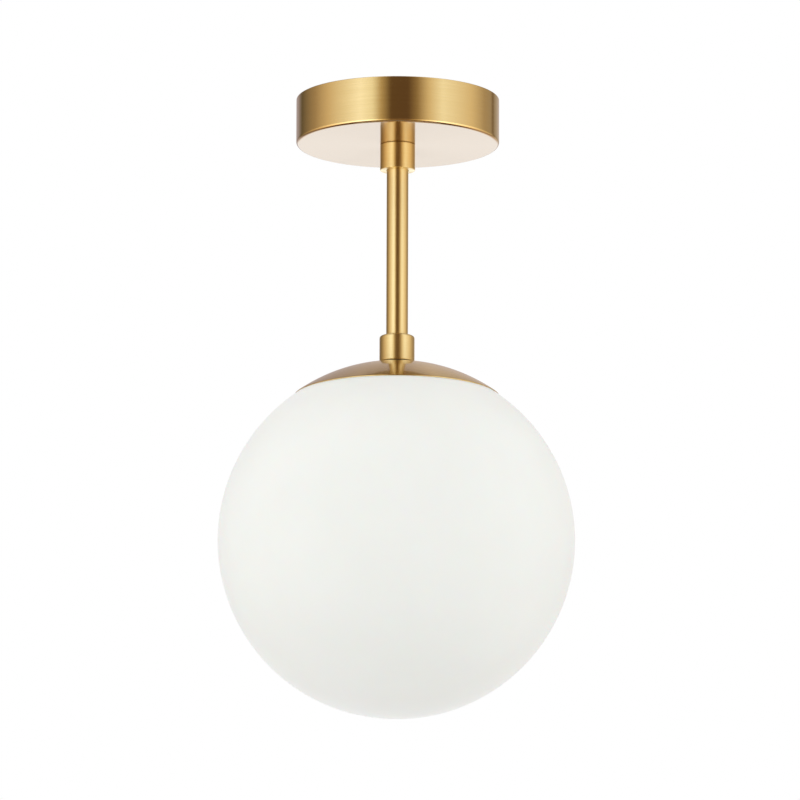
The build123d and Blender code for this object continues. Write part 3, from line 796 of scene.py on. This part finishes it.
def makeGlobe():
    # the rule: two balls about one centre, cut by the same round mouth and joined by its ground edge
    diameter, wall, opening = metres(globeLook, "diameter", "wall", "mouth")
    edge, hold = metres(globeLook, "mouthEdge", "mouthHold")
    radius, mouth = diameter / 2, opening / 2
    inner = radius - wall
    centre = (0, globeCentre)
    outerEnd = degrees(asin((mouth + edge) / radius))
    innerEnd = degrees(asin((mouth + edge) / inner))
    outerTop = globeCentre + radius * cos(radians(outerEnd))
    innerTop = globeCentre + inner * cos(radians(innerEnd))
    outline = joined(
        arc(centre, radius, -90, 90 - outerEnd, globeLook["rings"]),
        arc((mouth + edge, outerTop - edge), edge, 90, 180, steps=5),
        run((mouth, outerTop - edge), (mouth, innerTop + edge), hold),
        arc((mouth + edge, innerTop + edge), edge, 180, 270, steps=5),
        arc(centre, inner, 90 - innerEnd, -90, globeLook["rings"]),
    )[:-1]
    piece = turned("globeGlass", outline, "opal_glass", globeLook["segments"])
    settle(piece, "globe", "opal_glass", "glass_globe")


makeCanopy()
makeStem()
makeCanopyCollar()
makeStemCollar()
makeFootWasher()
makeDome()
makeLiner()
makeGlobe()
print("turned pieces made")


# Threaded pieces: nipples, lamp cap and the lampholder's shell
nippleThread = {
    "slot": "zinc_steel", "wall": 1.5, "pitch": 1.0, "depth": 0.5, "bothWalls": False,
    "perTurn": 8, "segments": 48,
}
threadLook = {
    "topNipple": {"node": "top_nipple", **nippleThread},
    "lowerNipple": {"node": "lower_nipple", **nippleThread},
    "holderShell": {
        "node": "screw_shell", "slot": "plain_brass", "wall": 0.5, "pitch": 3.6, "depth": 0.35,
        "bothWalls": True, "perTurn": 12, "segments": 72,
    },
}
lampCapLook = {
    "wall": 0.5, "shoulder": 2.0, "pitch": 3.6, "depth": 0.9, "collar": 3.0, "perTurn": 14,
    "segments": 96,
}


def threadSteps(look, length):
    return round(length / (look["pitch"] * mm) * look["perTurn"])


def threadValues(look, low, high, inside):
    pitch, depth = metres(look, "pitch", "depth")
    return {
        "Thread Pitch": pitch, "Thread Depth": depth,
        "Thread Low": low, "Thread High": high, "Thread Inside": inside,
    }


def makeThreaded(name, look):
    low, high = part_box(look["node"])
    outer = high.x
    inner = outer - look["wall"] * mm
    steps = threadSteps(look, high.z - low.z)
    edge, bothWalls = fineEdge, look["bothWalls"]
    outline = joined(
        run((inner, low.z), (outer - edge, low.z), edge),
        run((outer, low.z + edge), (outer, high.z - edge), edge, steps),
        run((outer - edge, high.z), (inner, high.z), edge),
        run((inner, high.z), (inner, low.z), edge, steps if bothWalls else 1),
    )
    thread = threadValues(look, low.z, high.z, 0.0 if bothWalls else (inner + outer) / 2)
    piece = turned(name, outline, look["slot"], look["segments"], thread)
    settle(piece, "fixture", look["slot"], look["node"])


def makeLampCap():
    low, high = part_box("lamp_screw_cap")
    wall, shoulder, collar = metres(lampCapLook, "wall", "shoulder", "collar")
    outer, bottom, top = high.x, low.z, high.z
    inner = outer - wall
    neck = outer - shoulder
    bend = top - shoulder
    steps = threadSteps(lampCapLook, bend - bottom)
    outline = joined(
        run((inner, bottom), (outer, bottom), fineEdge),
        run((outer, bottom), (outer, bend), fineEdge, steps),
        run((outer, bend), (neck, top), fineEdge, steps=6),
        run((neck, top), (neck - wall, top), fineEdge),
        run((neck - wall, top), (inner, bend), fineEdge, steps=6),
        run((inner, bend), (inner, bottom), fineEdge, steps),
    )
    thread = threadValues(lampCapLook, bottom + collar, bend + shoulder / 2, 0.0)
    piece = turned("lampCap", outline, "lamp_nickel", lampCapLook["segments"], thread)
    settle(piece, "lamp", "lamp_nickel", "lamp_screw_cap")


for name, look in threadLook.items():
    makeThreaded(name, look)
makeLampCap()
print("threaded pieces made")


# Fasteners: slotted screws and rivets, set on points worked out from the frame
toBack = (-pi / 2, 0.0, 0.0)  # heads that face +Y
toFloor = (pi, 0.0, 0.0)      # heads that face down
upright = (0.0, 0.0, 0.0)
fastenerLook = {
    "terminalScrews": {
        "node": "terminal_screws", "slot": "plain_brass", "turn": toBack, "head": 3.4,
        "headHeight": 1.9, "shank": 3.4, "edge": 0.2, "slotWidth": 0.6, "slotDepth": 0.8, "seed": 4,
    },
    "blockScrew": {
        "node": "block_screw", "slot": "zinc_steel", "turn": toBack, "head": 4.6,
        "headHeight": 1.6, "shank": 2.8, "edge": 0.3, "slotWidth": 0.8, "slotDepth": 0.9, "seed": 7,
    },
    "earthScrew": {
        "node": "earth_screw", "slot": "plain_brass", "turn": toFloor, "head": 7.4,
        "headHeight": 2.4, "shank": 3.8, "edge": 0.8, "slotWidth": 1.1, "slotDepth": 1.2, "seed": 2,
    },
    "holderScrew": {
        "node": "holder_grub_screw", "slot": "zinc_steel", "turn": toBack, "head": 2.8,
        "headHeight": 3.3, "shank": 2.8, "edge": 0.2, "slotWidth": 0.5, "slotDepth": 0.7, "seed": 5,
    },
    "contactScrews": {
        "node": "contact_screws", "slot": "plain_brass", "turn": upright, "head": 3.8,
        "headHeight": 1.4, "shank": 2.4, "edge": 0.25, "slotWidth": 0.6, "slotDepth": 0.7,
        "seed": 3,
    },
}
screwSegments = 40
rivetLook = {
    "head": 4.2, "headHeight": 0.6, "shank": 3.0, "pitch": 4.6, "arms": (90, 210, 330), "seed": 1,
    "segments": 32,
}


def ends(low, high, radius, digits=6):
    # one or two middles, as many as round heads of that radius fill the span's ends
    return sorted({round(low + radius, digits), round(high - radius, digits)})


def screwPlaces(look, low, high):
    radius = look["head"] * mm / 2
    across = ends(low.x, high.x, radius)
    if look["turn"] == toBack:
        heights = ends(low.z, high.z, radius)
        return [(x, high.y, z) for x in across for z in heights], high.y - low.y
    face = low.z if look["turn"] == toFloor else high.z
    depths = ends(low.y, high.y, radius)
    return [(x, y, face) for x in across for y in depths], high.z - low.z


def placeFasteners(name, blank, places, node, slot, turn, seed, slotSizes=None):
    width, depth, length = slotSizes or (mm, mm, mm)
    piece = runTree(meshObject(name, places), fastenTree, {
        "Fastener": blank, "Slotted": bool(slotSizes),
        "Slot Width": width, "Slot Depth": depth, "Slot Length": length,
        "Axis Turn": turn, "Seed": seed, "Finish": finishes[slot],
    })
    bpy.data.objects.remove(blank)
    settle(piece, "fixture", slot, node)


def makeScrews(name, look):
    low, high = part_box(look["node"])
    places, length = screwPlaces(look, low, high)
    across, thick, rise, edge = metres(look, "head", "shank", "headHeight", "edge")
    head, shank = across / 2, thick / 2
    outline = joined(
        run((0, -length), (shank, -length)),
        run((shank, -length), (shank, -rise)) if length - rise > edge else [],
        run((head, -rise), (head, -edge)),
        arc((head - edge, -edge), edge, 0, 90, steps=6),
        run((head - edge, 0), (0, 0)),
    )[:-1]
    blank = turned(name + "Blank", outline, look["slot"], screwSegments)
    slotSizes = (look["slotWidth"] * mm, look["slotDepth"] * mm, look["head"] * 2 * mm)
    placeFasteners(
        name, blank, places, look["node"], look["slot"], look["turn"], look["seed"], slotSizes,
    )


def makeRivets():
    low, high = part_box("clip_rivets")
    across, thick, rise, pitch = metres(rivetLook, "head", "shank", "headHeight", "pitch")
    head, shank = across / 2, thick / 2
    length = high.z - low.z
    bow = (head ** 2 + rise ** 2) / (2 * rise)  # radius of the low domed heads
    lean = degrees(asin(head / bow))
    outline = joined(
        arc((0, bow), bow, -90, lean - 90, steps=6),
        run((shank, rise), (shank, length - rise)),
        arc((0, length - bow), bow, 90 - lean, 90, steps=6),
    )[:-1]
    blank = turned("rivetBlank", outline, "zinc_steel", rivetLook["segments"])
    outer = high.y - head
    places = [
        (reach * cos(radians(arm)), reach * sin(radians(arm)), low.z)
        for arm in rivetLook["arms"] for reach in (outer, outer - pitch)
    ]
    placeFasteners(
        "clipRivets", blank, places, "clip_rivets", "zinc_steel", upright, rivetLook["seed"],
    )


for name, look in fastenerLook.items():
    makeScrews(name, look)
makeRivets()
print("fasteners made")


# Leads: single insulated wires, up the stem, over the nipple's edge and down into the block
leadLook = {
    "terminal": 6.2, "spread": 1.6, "pole": 5.0, "inBlock": 4.0, "straight": 4.2,
    "belowFoot": 1.0, "aboveFoot": 9.0, "belowMouth": 2.0,
    "sides": 6, "smoothness": 24, "order": 3, "crease": 50,
}


def makeLead(name, node, slot):
    low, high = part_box(node)
    side = 1 if low.x + high.x > 0 else -1
    terminal, spread, pole, inBlock = metres(leadLook, "terminal", "spread", "pole", "inBlock")
    straight, belowFoot, aboveFoot, belowMouth = metres(
        leadLook, "straight", "belowFoot", "aboveFoot", "belowMouth")
    radius = max(high.x, -low.x) - terminal
    foot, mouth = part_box("lower_nipple")[0].z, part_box("top_nipple")[1].z
    level, back = high.z - radius, high.y - radius
    route = [
        (terminal, 0, low.z),
        (terminal, 0, low.z + straight),
        (spread, 0, foot - belowFoot),
        (spread, 0, foot + aboveFoot),
        (spread, 0, mouth - belowMouth),
        (spread, 0, level),
        (pole, back, level),
        (pole, back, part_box("terminal_block")[1].z - inBlock),
    ]
    curve = bpy.data.curves.new(name + "Route", "CURVE")
    curve.dimensions = "3D"
    curve.bevel_depth, curve.bevel_resolution = radius, leadLook["sides"]
    curve.use_fill_caps = True
    curve.resolution_u = leadLook["smoothness"]
    wire = curve.splines.new("NURBS")
    wire.points.add(len(route) - 1)
    for point, spot in zip(wire.points, route):
        point.co = (side * spot[0], spot[1], spot[2], 1.0)
    wire.order_u = leadLook["order"]
    wire.use_endpoint_u = True
    drawn = addObject(name + "Route", curve)
    mesh = evaluatedMesh(drawn)
    bpy.data.objects.remove(drawn)
    mesh.name = name
    shade(mesh, leadLook["crease"])
    mesh.materials.clear()
    mesh.materials.append(finishes[slot])
    settle(addObject(name, mesh), "fixture", slot, node)


makeLead("brownWire", "live_lead", "lead_brown")
makeLead("blueWire", "neutral_lead", "lead_blue")
print("leads made")


# Studio: white all round for the eye, even soft light, and a warm room that only the metal mirrors.
# Lengths in metres, angles in degrees
worldLook = {"ambient": 0.96}
floorLook = {
    "height": -2.4, "size": 12.0, "fade": 1.0, "grain": 3.0, "rough": 0.9, "gloss": 0.1,
    "light": rgb(0.82, 0.815, 0.81), "dark": rgb(0.80, 0.795, 0.79),
}
roomLook = {
    "radius": 4.0,
    "turns": 96,
    "rows": 48,
    "pole": 89.0,                    # where the ball ends, above and below
    "slack": 1.001,                  # keeps heights on the ball just inside its radius
    "paper": (1.205, 1.24, 1.28),    # white paper low down behind
    "paperFrom": (155, 170),         # azimuths between which it begins, on both sides
    "ground": (0.17, 0.10, 0.05),    # what lies straight below
    "groundFrom": (-50, -36),
    "lowGain": 1.72,                 # how much brighter the room is just below the horizon
    "lowFrom": (-5, -2),
    "deepGain": 2.0,                 # and lower down
    "deepFrom": (-22, -15),
}
# tone of the mirrored room against its azimuth, 0 at the camera and negative to its left
roomTones = [
    (-180, (0.56, 0.465, 0.42)),
    (-172, (0.47, 0.39, 0.37)),
    (-155, (0.34, 0.28, 0.28)),
    (-140, (0.12, 0.09, 0.05)),
    (-108, (0.37, 0.27, 0.17)),
    (-86, (0.66, 0.52, 0.36)),
    (-62, (0.87, 0.80, 0.69)),
    (-43, (1.08, 1.07, 1.06)),
    (-29, (0.93, 0.89, 0.78)),
    (-19, (0.48, 0.36, 0.20)),
    (-8, (0.12, 0.07, 0.035)),
    (12, (0.115, 0.065, 0.035)),
    (22, (0.28, 0.19, 0.10)),
    (36, (0.72, 0.59, 0.42)),
    (52, (0.97, 0.94, 0.88)),
    (92, (0.74, 0.61, 0.44)),
    (116, (0.42, 0.32, 0.21)),
    (132, (0.36, 0.28, 0.19)),
    (138, (0.17, 0.11, 0.06)),
    (144, (0.34, 0.27, 0.19)),
    (172, (0.60, 0.50, 0.445)),
    (180, (0.56, 0.465, 0.42)),
]
# both lamps aim at the globe's centre
lampLook = {
    "keyLamp": {"power": 7.0, "size": 1.6, "place": (-2.4, -0.9, -0.5)},
    "fillLamp": {"power": 5.0, "size": 1.6, "place": (2.3, -1.2, -0.6)},
}
# tilt and roll in radians, lens and sensor in millimetres
cameraLook = {
    "place": (0.0018, -7.0, -1.7074), "tilt": 0.215426, "roll": 0.0032, "lens": 566.5,
    "sensor": 36.0, "sight": 60.0,
}


def makeWorld():
    world = bpy.data.worlds.new("studioWorld")
    scene.world = world
    world.use_nodes = True
    tree = world.node_tree
    path = addNode(tree, "ShaderNodeLightPath").outputs
    mirrored = calc(tree, "MAXIMUM", path["Is Glossy Ray"], path["Is Transmission Ray"])
    seen = calc(tree, "MAXIMUM", path["Is Camera Ray"], mirrored)
    sky = tree.nodes["Background"].inputs
    sky["Color"].default_value = rgb(1.0, 1.0, 1.0)
    plug(tree, sky["Strength"], ramp(tree, seen, 0.0, 1.0, worldLook["ambient"], 1.0))


def showSurface(tree, shader):
    plug(tree, tree.nodes["Material Output"].inputs["Surface"], shader.outputs[0])


def makeFloor():
    # pale floor at room height, white to the eye towards its edge and clear from below
    half, height = floorLook["size"] / 2, floorLook["height"]
    corners = [(-half, -half), (half, -half), (half, half), (-half, half)]
    floor = meshObject("roomFloor", [(*corner, height) for corner in corners], [(0, 1, 2, 3)])
    finish, tree, sockets = newFinish(
        "paleFloor", Roughness=floorLook["rough"], Specular_IOR_Level=floorLook["gloss"],
    )
    tones = {"Scale": floorLook["grain"], "Light": floorLook["light"], "Dark": floorLook["dark"]}
    plug(tree, sockets["Base Color"], placedGroup(tree, fineGrain, tones)["Color"])
    reach = fromAxis(tree, axesOf(tree, objectPlace(tree)))
    far = ramp(tree, reach, floorLook["fade"], half, smooth=True)
    white = times(tree, far, addNode(tree, "ShaderNodeLightPath").outputs["Is Camera Ray"])
    pale = tree.nodes["Principled BSDF"].outputs[0]
    paper = addNode(tree, "ShaderNodeEmission").outputs[0]
    top = addNode(tree, "ShaderNodeMixShader", {0: white, 1: pale, 2: paper}).outputs[0]
    below = addNode(tree, "ShaderNodeNewGeometry").outputs["Backfacing"]
    clear = addNode(tree, "ShaderNodeBsdfTransparent").outputs[0]
    showSurface(tree, addNode(tree, "ShaderNodeMixShader", {0: below, 1: top, 2: clear}))
    floor.data.materials.append(finish)
    floor.visible_glossy = False


def roomBall(radius, turns, rows, pole):
    points = []
    for row in range(rows + 1):
        lift = radians(-pole + 2 * pole * row / rows)
        wide, height = radius * cos(lift), radius * sin(lift)
        for turn in range(turns):
            angle = 2 * pi * turn / turns
            points.append((wide * sin(angle), -wide * cos(angle), height))
    faces = []
    for row in range(rows):
        lower, upper = row * turns, (row + 1) * turns
        for turn in range(turns):
            after = (turn + 1) % turns
            faces.append((lower + turn, lower + after, upper + after, upper + turn))
    return points, faces


def underShare(tree, lift, angles):
    # 1 under the first of two angles, 0 over the second
    low, high = (radians(angle) for angle in angles)
    return ramp(tree, lift, low, high, 1.0, 0.0, smooth=True)


def makeRoom():
    # a ball of tones round the light, seen by mirrored rays only
    radius = roomLook["radius"]
    ball = roomBall(radius, roomLook["turns"], roomLook["rows"], roomLook["pole"])
    room = meshObject("mirroredRoom", *ball)
    room.location.z = (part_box("dome_cap")[0].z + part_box("canopy")[1].z) / 2
    finish, tree, _ = newFinish("roomTone")
    tree.nodes.remove(tree.nodes["Principled BSDF"])
    axes = axesOf(tree, objectPlace(tree))
    azimuth = calc(tree, "ARCTAN2", axes[0], times(tree, axes[1], -1.0))
    away = calc(tree, "ABSOLUTE", azimuth)
    lift = calc(tree, "ARCSINE", calc(tree, "DIVIDE", axes[2], radius * roomLook["slack"]))
    tones = addNode(tree, "ShaderNodeValToRGB", {0: ramp(tree, azimuth, -pi, pi)})
    stops = tones.color_ramp.elements
    stops[0].position, stops[0].color = 0.0, rgb(*roomTones[0][1])
    stops[1].position, stops[1].color = 1.0, rgb(*roomTones[-1][1])
    for angle, tone in roomTones[1:-1]:
        stops.new(angle / 360 + 0.5).color = rgb(*tone)
    low, deep, ground = (
        underShare(tree, lift, roomLook[key]) for key in ("lowFrom", "deepFrom", "groundFrom")
    )
    paperStart, paperEnd = (radians(angle) for angle in roomLook["paperFrom"])
    paper = times(tree, low, ramp(tree, away, paperStart, paperEnd, smooth=True))
    lowGain = ramp(tree, low, 0.0, 1.0, 1.0, roomLook["lowGain"])
    gain = ramp(tree, deep, 0.0, 1.0, lowGain, roomLook["deepGain"])
    lit = {0: tones.outputs[0], "Scale": gain}
    tone = addNode(tree, "ShaderNodeVectorMath", lit, operation="SCALE").outputs[0]
    tone = mixColour(tree, paper, tone, rgb(*roomLook["paper"]))
    tone = mixColour(tree, ground, tone, rgb(*roomLook["ground"]))
    showSurface(tree, addNode(tree, "ShaderNodeEmission", {"Color": tone}))
    room.data.materials.append(finish)
    room.visible_camera = room.visible_diffuse = room.visible_transmission = False
    room.visible_shadow = room.visible_volume_scatter = False


def makeLamp(name, look):
    light = bpy.data.lights.new(name, "AREA")
    light.energy, light.shape, light.size = look["power"], "DISK", look["size"]
    lamp = addObject(name, light)
    lamp.location = look["place"]
    aim = Vector((0.0, 0.0, globeCentre)) - Vector(look["place"])
    lamp.rotation_euler = aim.to_track_quat("-Z", "Y").to_euler()
    lamp.visible_glossy = lamp.visible_camera = False


def makeCamera():
    lens = bpy.data.cameras.new("photoCamera")
    lens.lens, lens.sensor_width = cameraLook["lens"], cameraLook["sensor"]
    lens.clip_end = cameraLook["sight"]
    camera = addObject("photoCamera", lens)
    camera.location = cameraLook["place"]
    tilt = Matrix.Rotation(pi / 2 + cameraLook["tilt"], 3, "X")
    roll = Matrix.Rotation(cameraLook["roll"], 3, "Z")
    camera.rotation_euler = (tilt @ roll).to_euler()
    scene.camera = camera


makeWorld()
makeFloor()
makeRoom()
for name, look in lampLook.items():
    makeLamp(name, look)
makeCamera()
print("studio made")
